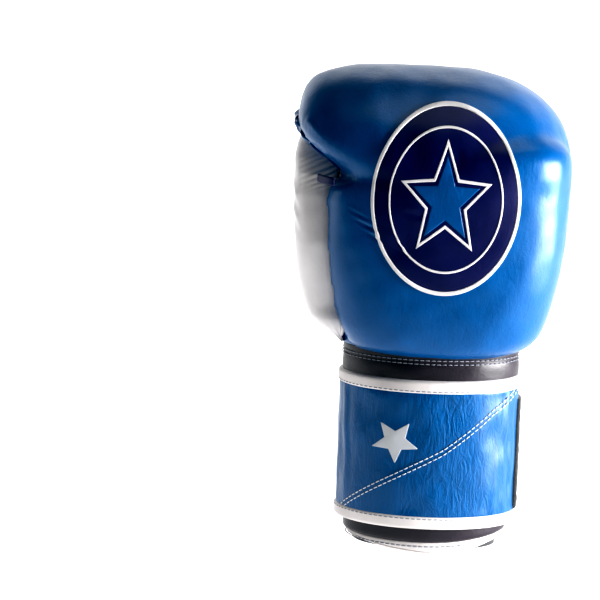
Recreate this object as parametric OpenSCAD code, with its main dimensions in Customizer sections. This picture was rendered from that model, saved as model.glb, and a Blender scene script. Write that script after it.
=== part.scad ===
// Right-hand boxing glove with a wide hook-and-loop wrist strap.
// +Z runs from the wrist opening to the fingertips, the back of the hand faces -Y,
// the palm faces +Y and the thumb is at -X. The origin is the centre of the wrist opening,
// on the flat rim that the glove stands on.

/* [Finger roll] */
// Half of the roll's width, across the hand
roll_hw = 82; // [80:1:84]
// How far the roll's middle lies toward the thumb side
roll_shift = 3.5; // [3:0.5:4]
// Half of the roll's depth, from back to palm
roll_ry = 72; // [70:1:74]
// Half of the roll's height
roll_rz = 58.5; // [57:0.5:60]
// Height of the roll's axis above the rim
roll_z = 226; // [225:1:227]
// Distance of the roll's axis in front of the wrist's axis
roll_y = 20; // [18:1:22]

/* [Padding] */
// Thickness of the shell leather
skin_t = 1.8; // [1.4:0.1:2]
// Thickness of the dense outer foam
outer_foam_t = 13; // [12:0.5:14]
// Thickness of the soft inner foam
inner_foam_t = 11; // [10:0.5:12]
// Thickness of the lining
liner_t = 1; // [0.8:0.1:1.2]

/* [Cuff] */
// Half of the wrist opening's width
wrist_a = 42.5; // [41:0.5:43]
// Half of the wrist opening's depth
wrist_b = 30; // [29:0.5:31]
// Thickness of the cuff's foam
cuff_foam_t = 5; // [4:0.5:5]
// Thickness of leather on the cuff
cuff_skin_t = 1.2; // [1:0.1:1.2]
// Height of the wrist band's top above the rim
band_top = 121; // [119:1:122]
// Half of the gap between the two sides of the palm slot, in degrees at the cuff
slot_half = 4; // [3:0.5:5]

/* [Strap] */
// Lowest edge of the strap
strap_z0 = 17; // [15:1:19]
// Width of the strap with its bindings
strap_w = 89; // [85:1:89]
// Thickness of the strap
strap_t = 2.6; // [2:0.2:2.6]
// Width of a binding
binding_w = 7; // [6:0.5:8]
// Where the strap turns away from the cuff, in degrees round the wrist
strap_turn = 141; // [139:1:143]
// Where the strap's end bends, in degrees round the wrist
end_turn = 77; // [75:1:79]
// Where the strap ends, in degrees round the wrist
strap_stop = 22; // [20:1:26]

/* [Thumb] */
// Half of the thumb's width
thumb_a = 40; // [38:1:41]
// Half of the thumb's thickness
thumb_b = 23; // [21:1:24]
// Height of the thumb's base
thumb_z0 = 140; // [139:1:141]
// Height from the thumb's base to its tip
thumb_h = 103; // [101:1:104]
// Angle of the thumb's flat side, from the X axis
thumb_turn = 60; // [58:1:62]

/* [Hidden] */

// Clearance between pieces of different bodies
gap = 0.4;
// Total depth of the padding over the lining
pad_d = skin_t + outer_foam_t + inner_foam_t;
// Where the finger roll flexes against the back of the hand
flex_angle = 189;
flex_z = roll_z + roll_rz * sin(flex_angle) - gap;
// Where the leather of the roll stops, and where its two foams meet
curl_stop = -62;
foam_split = (flex_angle + curl_stop) / 2;
// How far along the roll the padding reaches at its little-finger end
roll_right = 0.93;
// Flat plane between the back padding and the hand
back_inner_y = roll_y - roll_ry + pad_d;

function ease(k) = (1 - cos(180 * k)) / 2;
function mix(a, b, k) = a + (b - a) * k;
function steps(n) = [for (i = [0 : n]) i / n];
function spow(v, p) = sign(v) * pow(abs(v), p);

// Shape of the roll: full in the middle, domed at +X, blunt at -X
function roll_s(t) = t < 0 ? pow(1 - pow(-t, 5), 1 / 5) : pow(1 - pow(t, 2.4), 1 / 2.4);
function roll_cy(t) = roll_y + max(0, -t - 0.3) * 17;
function roll_pt(t, a, d) = [
    (roll_hw - d) * t - roll_shift,
    roll_cy(t) + (roll_ry - d) * roll_s(t) * cos(a),
    roll_z + (roll_rz - d) * roll_s(t) * sin(a)
];
// The roll stops short on the thumb side, where the thumb lies against it
function roll_left(a) = lookup(a, [[curl_stop, -0.26], [0, -0.34], [foam_split, -0.84],
    [164, -0.9], [166, -0.7], [flex_angle, -0.7]]);

// Outline of the back of the hand, as half widths to each side of the wrist's axis
function back_left(z) = lookup(z, [[120, 52], [137, 58], [152, 61], [188, 66], [217, 67]]);
function back_right(z) = lookup(z, [[120, 52], [129, 57], [152, 63], [196, 69], [217, 70]]);
function back_y(z) = lookup(z, [[120, -45], [138, -49], [166, -51], [217, -51.5]]);
function back_pt(z, k, d) =
    let (l = back_left(z) - d, r = back_right(z) - d, a = 180 * k,
        h = back_inner_y - back_y(z) - d)
    [mix(-l, r, 0.5) - (l + r) / 2 * spow(cos(a), 0.6), back_inner_y - h * pow(sin(a), 0.6), z];

// Section of the palm: a shallow arch from the thumb side to the little-finger side
function palm_cx(z) = lookup(z, [[106, 0], [122, 2], [148, 11], [184, 15]]);
function palm_hx(z) = lookup(z, [[106, 51], [122, 53], [148, 58], [184, 61]]);
function palm_hy(z) = lookup(z, [[106, 39], [122, 41], [184, 41]]);
function palm_y(x, z) =
    palm_hy(z) * pow(1 - pow(min(0.98, abs((x - palm_cx(z)) / palm_hx(z))), 2.6), 1 / 2.6);
function palm_pt(x, z, d) = [x, palm_y(x, z) - d, z];

// Point on an oval that lies o outside the wrist opening
function cuff_xy(a, o) = [(wrist_a + o) * cos(a), (wrist_b + o) * sin(a)];

// Faces of a grid of quads, split into triangles
function grid_faces(r, c, at, flip) = [
    for (i = [0 : r - 2], j = [0 : c - 2])
        let (a = at + i * c + j, b = a + 1, d = a + c, e = d + 1)
            each flip ? [[a, e, b], [a, d, e]] : [[a, b, e], [a, e, d]]
];

// Closed solid between an outer grid of points and an inner grid of the same size
module slab(outer, inner) {
    r = len(outer);
    c = len(outer[0]);
    n = r * c;
    points = concat([for (row = outer) each row], [for (row = inner) each row]);
    ends = [for (j = [0 : c - 2], e = [0, 1])
        let (a = e * (r - 1) * c + j, b = a + 1)
            each e == 0 ? [[a, b + n, b], [a, a + n, b + n]] : [[a, b, b + n], [a, b + n, a + n]]];
    sides = [for (i = [0 : r - 2], e = [0, 1])
        let (a = i * c + e * (c - 1), b = a + c)
            each e == 0 ? [[a, b, b + n], [a, b + n, a + n]] : [[a, b + n, b], [a, a + n, b + n]]];
    polyhedron(points, concat(grid_faces(r, c, 0, false), grid_faces(r, c, n, true), ends, sides));
}

// Closed solid through a stack of rings
module loft(rings) {
    r = len(rings);
    c = len(rings[0]);
    walls = [for (i = [0 : r - 2], j = [0 : c - 1])
        let (a = i * c + j, b = i * c + (j + 1) % c, d = a + c, e = b + c)
            each [[a, d, e], [a, e, b]]];
    caps = [[for (j = [0 : c - 1]) j], [for (j = [c - 1 : -1 : 0]) (r - 1) * c + j]];
    polyhedron([for (ring = rings) each ring], concat(walls, caps));
}

// Piece of the roll's wall between two angles and two depths
module roll_wall(a0, a1, d0, d1, rows, columns, right = roll_right) {
    function grid(d) = [for (k = steps(rows)) let (a = mix(a0, a1, k))
        [for (i = steps(columns)) roll_pt(mix(right, roll_left(a), ease(i)), a, d)]];
    slab(grid(d0), grid(d1));
}

// Piece of the back's wall between two heights and two depths
module back_wall(z0, z1, d0, d1, rows = 6, columns = 14) {
    function grid(d) = [for (r = steps(rows))
        [for (i = steps(columns)) back_pt(mix(z0, z1, r), 1 - i, d)]];
    slab(grid(d0), grid(d1));
}

// Piece of the palm's wall: x0 and x1 are lists of [z, x]
module palm_wall(x0, x1, z0, z1, d0, d1, rows = 6, columns = 6) {
    function grid(d) = [for (r = steps(rows)) let (z = mix(z0, z1, r))
        [for (i = steps(columns)) palm_pt(mix(lookup(z, x0), lookup(z, x1), i), z, d)]];
    slab(grid(d0), grid(d1));
}

// Band round the cuff, between two angles, two offsets and two heights
module cuff_band(a0, a1, o0, o1, z0, z1, n = 40) {
    outer = [for (k = steps(n)) cuff_xy(mix(a0, a1, k), o1)];
    inner = [for (k = steps(n)) cuff_xy(mix(a1, a0, k), o0)];
    translate([0, 0, z0]) linear_extrude(z1 - z0) polygon(concat(outer, inner));
}

// Offsets of the cuff's layers from the wrist opening
foam_o = cuff_foam_t;
cover_o = foam_o + cuff_skin_t;
trim_o = cover_o + 1;
hook_o = trim_o + gap;
strap_o = hook_o + 1.2;
strap_out = strap_o + strap_t;
binding_out = strap_out + 0.4;
// Heights of the strap's parts
strap_z1 = strap_z0 + strap_w;
panel_z0 = strap_z0 + binding_w;
panel_z1 = strap_z1 - binding_w;
rim_h = 7;
// Angles of the slot's two edges, going round by the back of the hand
slot_a0 = 90 + slot_half;
slot_a1 = 450 - slot_half;
// Where the strap starts, on the little-finger side
root_a = 355;
// Degrees left open where the strap turns and where its end bends
turn_gap = 0.5;

module back_leather() {
    color("royalblue") back_wall(122, flex_z, 0, skin_t);
}

module knuckle_foam_outer() {
    color("dimgray") back_wall(122, flex_z, skin_t, skin_t + outer_foam_t);
}

module knuckle_foam_inner() {
    function section(z, k) = back_pt(z, k, skin_t + outer_foam_t);
    color("gray") loft([for (r = steps(6))
        [for (k = steps(14)) section(mix(122, flex_z, r), k)]]);
}

// Badge across the back of the hand and the finger roll, as an oval plate in two parts
badge_t = 1;
badge_z = 213;
badge_half = 55;
badge_lift = 0.6;
function badge_edge(x) = badge_half * sqrt(1 - pow((x - 5) / 62, 2));
function badge_top(t) = 128 - 16 * pow(cos(t * 90), 2);

module badge_lower() {
    function grid(d) = [for (r = steps(5)) [for (i = steps(8))
        let (k = mix(0.72, 0.33, i), x = back_pt(badge_z, k, 0)[0])
            back_pt(mix(badge_z - badge_edge(x), flex_z, r), k, d)]];
    color("midnightblue") slab(grid(-badge_t), grid(0));
}

module badge_upper() {
    function grid(d) = [for (r = steps(5)) [for (i = steps(8))
        let (t = mix(0.62, -0.5, i)) roll_pt(t, mix(flex_angle, badge_top(t), r), d)]];
    color("midnightblue") slab(grid(-badge_t - badge_lift), grid(-badge_lift));
}

module finger_leather() {
    color("dodgerblue") roll_wall(flex_angle, curl_stop, 0, skin_t, 20, 12);
}

module finger_foam_outer() {
    color("dimgray") roll_wall(flex_angle, foam_split, skin_t, skin_t + outer_foam_t, 10, 12);
}

module finger_foam_inner() {
    color("gray") roll_wall(flex_angle, foam_split, skin_t + outer_foam_t, pad_d, 10, 12);
}

module curl_foam() {
    color("slategray") roll_wall(foam_split, curl_stop, skin_t, pad_d, 10, 12);
}

// Dome that closes the roll at its little-finger end
module finger_end_cap() {
    function ring(t, d) = [for (a = [340 : -20 : 0]) roll_pt(t, a, d)];
    color("dodgerblue") loft(concat(
        [for (t = [0.999, 0.985, 0.965, roll_right + 0.006]) ring(t, 0)],
        [for (t = [roll_right + 0.006, 0.97, 0.99]) ring(t, 12)]));
}

// Gathered leather at the roll's thumb end, pleated down to the gap round the thumb's tip.
// k goes from its outer edge, 0, to the gap, 1. Rows are x, k and how deep the pleats are.
pleats = 14;
pleat_h = 1.6;
gather_t = 3;
gather_rows = [[-75, 0, 0], [-82, 0.1, 0.5], [-84.5, 0.45, 1], [-82, 0.95, 1]];
function gather_pt(x, k, a, d) = [x,
    mix(33, 17, k) + (mix(52, 37, k) + d) * cos(a),
    mix(roll_z, roll_z + 3, k) + (mix(44.5, 23, k) + d) * sin(a)];
module finger_gather() {
    n = 84;
    function grid(dx) = [for (p = gather_rows) [for (i = [0 : n - 1]) let (a = 180 * i / (n - 1))
        gather_pt(p[0] + dx - p[2] * pleat_h * cos(pleats * 2 * a), p[1], a, 0)]];
    color("royalblue") slab(grid(0), grid(gather_t));
}

module gather_lining() {
    function grid(d) = [for (x = [-71, -79]) [for (a = [0 : 20 : 180]) gather_pt(x, 1, a, d)]];
    color("black") slab(grid(1.5), grid(0));
}

module finger_liner() {
    color("black") roll_wall(flex_angle, curl_stop, pad_d + 0.2, pad_d + liner_t, 16, 10, 0.9);
}

// Bar that the fingers close round, at the mouth of the finger compartment
bar_at = [-16, 33, 196.5];
bar_l = 64;
bar_r = 7;
module grip_bar() {
    color("gray") translate(bar_at) rotate([0, 90, 0]) cylinder(h = bar_l, r = bar_r, $fn = 48);
}

module grip_bar_cover() {
    color("black") translate(bar_at) rotate([0, 90, 0]) difference() {
        cylinder(h = bar_l, r = bar_r + 1, $fn = 48);
        translate([0, 0, -1]) cylinder(h = bar_l + 2, r = bar_r, $fn = 48);
    }
}

// Little-finger side of the hand, from the back padding to the palm
side_foam_t = 9;
function side_pt(z, k, d) =
    let (r = lookup(z, [[122, 60], [129, 64], [152, 71], [176, 75], [193, 77]]), a = mix(-90, 62, k),
        x0 = back_right(z) - 14, depth = a < 0 ? -back_inner_y : palm_hy(z) - 2)
    [x0 + (r - x0 - d) * spow(cos(a), 0.75), (depth - d) * spow(sin(a), 0.75), z];

module side_wall(d0, d1) {
    function grid(d) = [for (r = steps(6))
        [for (k = steps(10)) side_pt(mix(122, 191, r), 1 - k, d)]];
    slab(grid(d0), grid(d1));
}

module side_leather() {
    color("royalblue") side_wall(0, skin_t);
}

module side_foam() {
    color("gray") side_wall(skin_t, skin_t + side_foam_t);
}

// Lining of the hand, open at the thumb
liner_square = 0.7;
module hand_liner() {
    function cx(z) = lookup(z, [[122, 0], [148, 8], [193, 10]]);
    function rx(z) = lookup(z, [[122, wrist_a], [148, 45], [193, 46]]);
    function ry(z, a) = a < 0 ? lookup(z, [[122, 26], [138, 25]])
        : lookup(z, [[122, wrist_b], [138, 33]]);
    function grid(d) = [for (z = [band_top + 1, 129, 138, 148, 166, 186])
        [for (a = [145 : -15 : -155]) [
            cx(z) + (rx(z) - d) * spow(cos(a), liner_square),
            (ry(z, a) - d) * spow(sin(a), liner_square), z]]];
    color("black") slab(grid(-0.1), grid(liner_t));
}

// Edges of the palm's panels, as lists of [z, x]
heel_edge = [[121, -36], [148, -33], [168, -26]];
slot_thumb = [[105, -4], [138, -6], [161, -12], [180, -22]];
slot_finger = [[105, 4], [138, 6], [180, 7]];
function shifted(edge, dx) = [for (e = edge) [e[0], e[1] + dx]];
side_edge = [[121, 45.5], [148, 55], [180, 62]];
palm_top = 173;
strip_top = 178;
strip_w = 13;
// Mesh inset above the heel of the palm, and the tape between them
mesh_edge = [[156, -36], [160, -36], [170, -34]];
tape_z0 = 156.5;
tape_z1 = 160;
mesh_z1 = 167;
// Small clearance between pieces of one body
rub = 0.1;
// How far the strips and the tape stand above the palm's leather, and their pipings
raised = 0.6;
piping_h = 1.2;
piping_w = 2;
palm_foam_t = 4;
strip_edge = shifted(slot_thumb, -strip_w - gap);

module palm_leather_thumb_side() {
    color("black") palm_wall(heel_edge, strip_edge, band_top, tape_z0, 0, skin_t);
}

module palm_leather_finger_side() {
    color("royalblue") palm_wall(shifted(slot_finger, strip_w + gap), side_edge, band_top, palm_top,
        0, skin_t);
}

module palm_foam_thumb_side() {
    color("gray") palm_wall(heel_edge, slot_thumb, band_top, mesh_z1, skin_t + rub, skin_t + palm_foam_t);
}

module palm_foam_finger_side() {
    color("gray") palm_wall(slot_finger, side_edge, band_top, palm_top,
        skin_t + rub, skin_t + palm_foam_t);
}

module palm_mesh() {
    color("silver") palm_wall(mesh_edge, strip_edge, tape_z1, mesh_z1, 0, skin_t, 4, 3);
}

module mesh_tape() {
    color("black") palm_wall(mesh_edge, strip_edge, tape_z0, tape_z1, -raised, skin_t, 2, 3);
}

module slot_strip_thumb_side() {
    color("royalblue") {
        palm_wall(shifted(slot_thumb, -strip_w), shifted(slot_thumb, -piping_w), band_top, strip_top,
            -raised, skin_t);
        cuff_band(96, 108, cover_o, trim_o, rim_h, band_top);
    }
}

module slot_strip_finger_side() {
    color("royalblue") {
        palm_wall(shifted(slot_finger, piping_w), shifted(slot_finger, strip_w), band_top, strip_top,
            -raised, skin_t);
        cuff_band(72, 84, cover_o, trim_o, rim_h, band_top);
    }
}

module slot_piping_thumb_side() {
    color("white") {
        palm_wall(shifted(slot_thumb, -piping_w), slot_thumb, band_top, strip_top, -piping_h, skin_t);
        cuff_band(94, 96, cover_o, trim_o, rim_h, band_top, 4);
    }
}

module slot_piping_finger_side() {
    color("white") {
        palm_wall(slot_finger, shifted(slot_finger, piping_w), band_top, strip_top, -piping_h, skin_t);
        cuff_band(84, 86, cover_o, trim_o, rim_h, band_top, 4);
    }
}

// Stretch gusset behind the slot
tongue_t = 1;
module slot_tongue() {
    color("black") {
        palm_wall(shifted(slot_thumb, -3), shifted(slot_finger, 4), band_top, strip_top,
            skin_t + palm_foam_t + rub, skin_t + palm_foam_t + tongue_t);
        cuff_band(82, 98, -tongue_t, 0, rim_h, band_top, 10);
    }
}

module wrist_band() {
    color("black") cuff_band(109, 431, cover_o, cover_o + 2.6, strap_z1 + 1, band_top);
}

module cuff_foam() {
    color("gray") cuff_band(slot_a0, slot_a1, 0, foam_o, 3, band_top, 60);
}

module cuff_cover() {
    color("black") cuff_band(slot_a0, slot_a1, foam_o, cover_o, rim_h, band_top, 60);
}

module cuff_liner() {
    color("black") cuff_band(slot_a0 + 5, slot_a1 - 5, -liner_t, 0, 3, band_top, 60);
}

module cuff_rim_binding() {
    color("white") {
        cuff_band(slot_a0, slot_a1, -liner_t, trim_o, 0, 3, 60);
        cuff_band(slot_a0, slot_a1, foam_o, trim_o, 3, rim_h, 60);
    }
}

module loop_panel() {
    color("black") cuff_band(-3, 71, cover_o, trim_o, panel_z0, panel_z1);
}

module strap_root_backing() {
    color("gray") cuff_band(strap_turn + turn_gap, root_a, cover_o, strap_o, strap_z0, strap_z1);
}

module strap_root() {
    color("dodgerblue") cuff_band(strap_turn + turn_gap, root_a, strap_o, strap_out, panel_z0, panel_z1);
}

module strap_root_top_binding() {
    color("white") cuff_band(strap_turn + turn_gap, root_a, strap_o, binding_out, panel_z1, strap_z1);
}

module strap_root_bottom_binding() {
    color("white") cuff_band(strap_turn + turn_gap, root_a, strap_o, binding_out, strap_z0, panel_z0);
}

module strap_wrap() {
    color("dodgerblue") cuff_band(end_turn + turn_gap, strap_turn, strap_o, strap_out, panel_z0, panel_z1);
}

module strap_wrap_top_binding() {
    color("white") cuff_band(end_turn + turn_gap, strap_turn, strap_o, binding_out, panel_z1, strap_z1);
}

module strap_wrap_bottom_binding() {
    color("white") cuff_band(end_turn + turn_gap, strap_turn, strap_o, binding_out, strap_z0, panel_z0);
}

module hook_patch_middle() {
    color("dimgray") cuff_band(end_turn + turn_gap, strap_turn - 3, hook_o, strap_o, panel_z0, panel_z1);
}

module strap_end() {
    color("dodgerblue") cuff_band(strap_stop + 6, end_turn, strap_o, strap_out, panel_z0, panel_z1);
}

module strap_end_binding() {
    color("white") {
        cuff_band(strap_stop, strap_stop + 6, strap_o, binding_out, panel_z0, panel_z1, 6);
        cuff_band(strap_stop + 3, end_turn, strap_o, binding_out, panel_z1, strap_z1);
        cuff_band(strap_stop + 3, end_turn, strap_o, binding_out, strap_z0, panel_z0);
    }
}

module hook_patch_end() {
    color("dimgray") cuff_band(strap_stop + 4, end_turn, hook_o, strap_o, panel_z0, panel_z1);
}

// Thumb: rings that follow its height k, shrunk by d on every side
function thumb_c(k) = [lookup(k, [[0, -66], [0.3, -63], [0.6, -61], [1, -55]]),
    lookup(k, [[0, 9], [0.3, 13], [0.6, 14], [1, 18]])];
function thumb_s(k) = lookup(k, [[0, 0.44], [0.1, 0.6], [0.2, 0.74], [0.35, 0.9], [0.5, 0.99],
    [0.65, 1], [0.78, 0.93], [0.88, 0.74], [0.95, 0.52], [1, 0.24]]);
function thumb_pt(k, a, d) =
    let (s = thumb_s(k), e = min(d, 0.55 * thumb_b * s),
        u = (thumb_a * s - e) * cos(a), v = (thumb_b * s - e) * sin(a))
    [thumb_c(k)[0] + u * cos(thumb_turn) - v * sin(thumb_turn),
        thumb_c(k)[1] + u * sin(thumb_turn) + v * cos(thumb_turn),
        thumb_z0 + thumb_h * k - (k > 0.9 ? d * (k - 0.9) * 10 : 0)];
// Heights of the thumb's rings, from tip to base, and those above the stall's mouth
thumb_levels = [1, 0.95, 0.88, 0.78, 0.65, 0.5, 0.35, 0.2, 0.1, 0];
mouth_levels = [for (k = thumb_levels) if (k > 0.3) k];
lined_levels = [for (k = thumb_levels) if (k > 0.15 && k < 0.9) k];
// Angles of the seams between the thumb's outer and inner panels
seam_a0 = -6;
seam_a1 = 186;
thumb_skin_t = 1.4;
thumb_pad = 7;
inner_panel_t = 3;

// Wall of the thumb between two angles and two depths
module thumb_wall(levels, a0, a1, d0, d1) {
    function grid(d) = [for (k = levels) [for (i = steps(12)) thumb_pt(k, mix(a0, a1, i), d)]];
    slab(grid(d0), grid(d1));
}

module thumb_leather() {
    color("white") thumb_wall(thumb_levels, seam_a0, seam_a1, 0, thumb_skin_t);
}

// The inner side stays open near the base, where the thumb enters from the hand
module thumb_inner_panel() {
    color("navy") thumb_wall(mouth_levels, seam_a1, 360 + seam_a0, 0, inner_panel_t);
}

module thumb_foam() {
    color("gray") thumb_wall(thumb_levels, seam_a0, seam_a1, thumb_skin_t, thumb_skin_t + thumb_pad);
}

module thumb_liner() {
    color("black") thumb_wall(lined_levels, seam_a0 + 4, seam_a1 - 4,
        thumb_skin_t + thumb_pad, thumb_skin_t + thumb_pad + 0.8);
}

// Round cord sewn into the seam between the thumb's two panels
module thumb_rim_piping() {
    function rim(a) = [for (i = steps(16)) let (k = mix(0.06, 0.95, i)) thumb_pt(k, a, -1.3)];
    function ring(p, q) = [for (j = [0 : 60 : 300])
        p + 1.1 * cos(j) * q + 1.1 * sin(j) * [-q[1], q[0], 0]];
    out = [cos(thumb_turn), sin(thumb_turn), 0];
    color("white") {
        loft([for (p = rim(seam_a0)) ring(p, out)]);
        loft([for (p = rim(seam_a1)) ring(p, -out)]);
    }
}

// Curved strip that joins the thumb's base to the heel of the palm
base_z0 = 123;
module thumb_base_strip() {
    function grid(d) = [for (z = [base_z0 : 5 : base_z0 + 15])
        [for (i = steps(10)) let (a = mix(215, 136, i), g = (z - base_z0) / 4 - d)
            [(51 + g) * cos(a), (39 + g) * sin(a), z]]];
    color("royalblue") slab(grid(0), grid(skin_t));
}

// Short strap that keeps the thumb close to the finger roll
web_at = [-63, -22, 222];
web_turn = 25;
web_size = [16, 1.6, 8];
module thumb_web() {
    color("navy") translate(web_at) rotate([0, 0, web_turn]) cube(web_size);
}

back_leather();
knuckle_foam_outer();
knuckle_foam_inner();
badge_lower();
badge_upper();
finger_leather();
finger_foam_outer();
finger_foam_inner();
curl_foam();
finger_end_cap();
finger_gather();
gather_lining();
finger_liner();
grip_bar();
grip_bar_cover();
side_leather();
side_foam();
hand_liner();
palm_leather_thumb_side();
palm_leather_finger_side();
palm_foam_thumb_side();
palm_foam_finger_side();
palm_mesh();
mesh_tape();
slot_strip_thumb_side();
slot_strip_finger_side();
slot_piping_thumb_side();
slot_piping_finger_side();
slot_tongue();
wrist_band();
cuff_foam();
cuff_cover();
cuff_liner();
cuff_rim_binding();
loop_panel();
strap_root_backing();
strap_root();
strap_root_top_binding();
strap_root_bottom_binding();
strap_wrap();
strap_wrap_top_binding();
strap_wrap_bottom_binding();
hook_patch_middle();
strap_end();
strap_end_binding();
hook_patch_end();
thumb_leather();
thumb_foam();
thumb_liner();
thumb_rim_piping();
thumb_inner_panel();
thumb_base_strip();
thumb_web();
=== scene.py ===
"""Looks of a right-hand boxing glove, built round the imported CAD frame.

Lengths in this file are in millimetres in the CAD's frame and become metres in make().
+Z runs from the wrist to the fingers, the back of the hand faces -Y and the thumb is at -X.
"""

import math

import bmesh
import bpy
import numpy as np
from mathutils import Matrix, Vector
from mathutils.bvhtree import BVHTree


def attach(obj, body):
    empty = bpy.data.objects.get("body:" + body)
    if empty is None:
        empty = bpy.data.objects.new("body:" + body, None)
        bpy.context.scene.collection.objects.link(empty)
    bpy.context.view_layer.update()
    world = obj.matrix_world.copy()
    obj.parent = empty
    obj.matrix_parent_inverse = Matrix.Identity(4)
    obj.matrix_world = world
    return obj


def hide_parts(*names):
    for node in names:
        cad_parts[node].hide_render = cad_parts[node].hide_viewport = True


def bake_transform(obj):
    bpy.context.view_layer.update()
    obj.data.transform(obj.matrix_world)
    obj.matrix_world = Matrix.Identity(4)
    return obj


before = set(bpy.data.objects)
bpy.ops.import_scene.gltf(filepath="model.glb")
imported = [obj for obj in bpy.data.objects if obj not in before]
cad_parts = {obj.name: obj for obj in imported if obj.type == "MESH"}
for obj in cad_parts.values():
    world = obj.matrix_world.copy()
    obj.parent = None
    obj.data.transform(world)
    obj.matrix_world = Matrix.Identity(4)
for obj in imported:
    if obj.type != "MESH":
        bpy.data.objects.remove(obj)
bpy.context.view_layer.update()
MM = 0.001

# ---------------------------------------------------------------- sizes, as in the CAD
ROLL_HALF = 82.0
ROLL_SHIFT = 3.5
ROLL_R = (72.0, 58.5)
ROLL_AT = (20.0, 226.0)
WRIST = (42.5, 30.0)
COVER_O = 6.2
TRIM_O = 7.2
STRAP_O = 8.8
STRAP_T = 2.6
BAND_TOP = 121.0
STRAP_Z = (17.0, 106.0)
BIND_W = 8.5
STRAP_TURN = 141.0
END_TURN = 77.0
STRAP_STOP = 22.0
ROOT_START = 351.0
WRAP_SEAM = (STRAP_TURN + END_TURN) / 2
THUMB_A = 40.0
THUMB_B = 23.0
THUMB_Z = 123.0
THUMB_H = 124.0
THUMB_TURN = math.radians(65)


# ---------------------------------------------------------------- small maths
def lerp(a, b, k):
    return a + (b - a) * k


def smooth(e0, e1, x):
    t = np.clip((x - e0) / (e1 - e0), 0, 1)
    return t * t * (3 - 2 * t)


def table(x, rows):
    return np.interp(x, [r[0] for r in rows], [r[1] for r in rows])


def signed_power(v, p):
    return np.sign(v) * np.abs(v) ** p


def wave(p, scale, seed):
    """Smooth, repeatable noise from -1 to 1 at points p, with lumps about scale apart."""
    rng = np.random.default_rng(seed)
    total = np.zeros(p.shape[:-1])
    for _ in range(9):
        direction = rng.normal(size=3)
        direction *= 2 * math.pi / (scale * rng.uniform(0.8, 1.9)) / np.linalg.norm(direction)
        total += np.sin(p @ direction + rng.uniform(0, 2 * math.pi))
    return total / 4.5


# ---------------------------------------------------------------- materials
def node(tree, kind, **values):
    n = tree.nodes.new(kind)
    for key, value in values.items():
        if key in n.inputs:
            n.inputs[key].default_value = value
        else:
            setattr(n, key, value)
    return n


def start_material(name, colour, rough, spread=0.08, **sockets):
    """A Principled material whose colour and roughness vary a little over the surface."""
    material = bpy.data.materials.new(name)
    material.use_nodes = True
    tree = material.node_tree
    shader = tree.nodes["Principled BSDF"]
    for key, value in sockets.items():
        shader.inputs[key.replace("_", " ")].default_value = value
    place = node(tree, "ShaderNodeTexCoord")
    blotch = node(tree, "ShaderNodeTexNoise", Scale=38.0, Detail=4.0, Roughness=0.55)
    tree.links.new(place.outputs["Object"], blotch.inputs["Vector"])
    ramp = node(tree, "ShaderNodeValToRGB")
    dark = [c * (1 - spread * 2.2) for c in colour[:3]]
    light = [min(1, c * (1 + spread) + 0.004 * spread) for c in colour[:3]]
    ramp.color_ramp.elements[0].position = 0.32
    ramp.color_ramp.elements[0].color = (*dark, 1)
    ramp.color_ramp.elements[1].position = 0.7
    ramp.color_ramp.elements[1].color = (*light, 1)
    tree.links.new(blotch.outputs["Fac"], ramp.inputs["Fac"])
    tree.links.new(ramp.outputs["Color"], shader.inputs["Base Color"])
    shine = node(tree, "ShaderNodeMapRange", **{"To Min": rough * 0.8, "To Max": rough * 1.3})
    rub = node(tree, "ShaderNodeTexNoise", Scale=120.0, Detail=5.0)
    tree.links.new(place.outputs["Object"], rub.inputs["Vector"])
    tree.links.new(rub.outputs["Fac"], shine.inputs["Value"])
    tree.links.new(shine.outputs["Result"], shader.inputs["Roughness"])
    return material, tree, shader, place, ramp


def add_bump(tree, height, distance, strength, below=None):
    bump = node(tree, "ShaderNodeBump", Distance=distance, Strength=strength)
    tree.links.new(height, bump.inputs["Height"])
    if below is not None:
        tree.links.new(below.outputs["Normal"], bump.inputs["Normal"])
    return bump


def leather(name, colour, rough=0.3, grain=900.0, grain_depth=0.25, crease=0.35, coat=0.35, spread=0.1,
            tint=(1, 1, 1), crinkle=0.0):
    """Coated leather: pebbled grain, fine creases and soft dents under a thin gloss coat."""
    material, tree, shader, place, _ = start_material(
        name, colour, rough, spread, Coat_Weight=coat, Coat_Roughness=0.3, Specular_IOR_Level=0.25,
        Specular_Tint=(*tint, 1))
    dents = node(tree, "ShaderNodeTexNoise", Scale=55.0, Detail=3.0, Distortion=0.6)
    creases = node(tree, "ShaderNodeTexNoise", Scale=260.0, Detail=6.0, Roughness=0.7, Distortion=1.6)
    pebble = node(tree, "ShaderNodeTexVoronoi", Scale=grain)
    for texture in (dents, creases, pebble):
        tree.links.new(place.outputs["Object"], texture.inputs["Vector"])
    b1 = add_bump(tree, dents.outputs["Fac"], 0.0016, 0.35)
    b2 = add_bump(tree, creases.outputs["Fac"], 0.00035, crease, b1)
    if crinkle:
        # upright crinkles, as where a strap has been bent round the wrist
        squeeze = node(tree, "ShaderNodeMapping")
        squeeze.inputs["Scale"].default_value = (1.0, 1.0, 0.3)
        folds = node(tree, "ShaderNodeTexNoise", Scale=170.0, Detail=3.0, Roughness=0.6, Distortion=2.2)
        tree.links.new(place.outputs["Object"], squeeze.inputs["Vector"])
        tree.links.new(squeeze.outputs["Vector"], folds.inputs["Vector"])
        b2 = add_bump(tree, folds.outputs["Fac"], 0.0022, crinkle, b2)
    b3 = add_bump(tree, pebble.outputs["Distance"], 0.00012, grain_depth, b2)
    tree.links.new(b3.outputs["Normal"], shader.inputs["Normal"])
    return material


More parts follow.
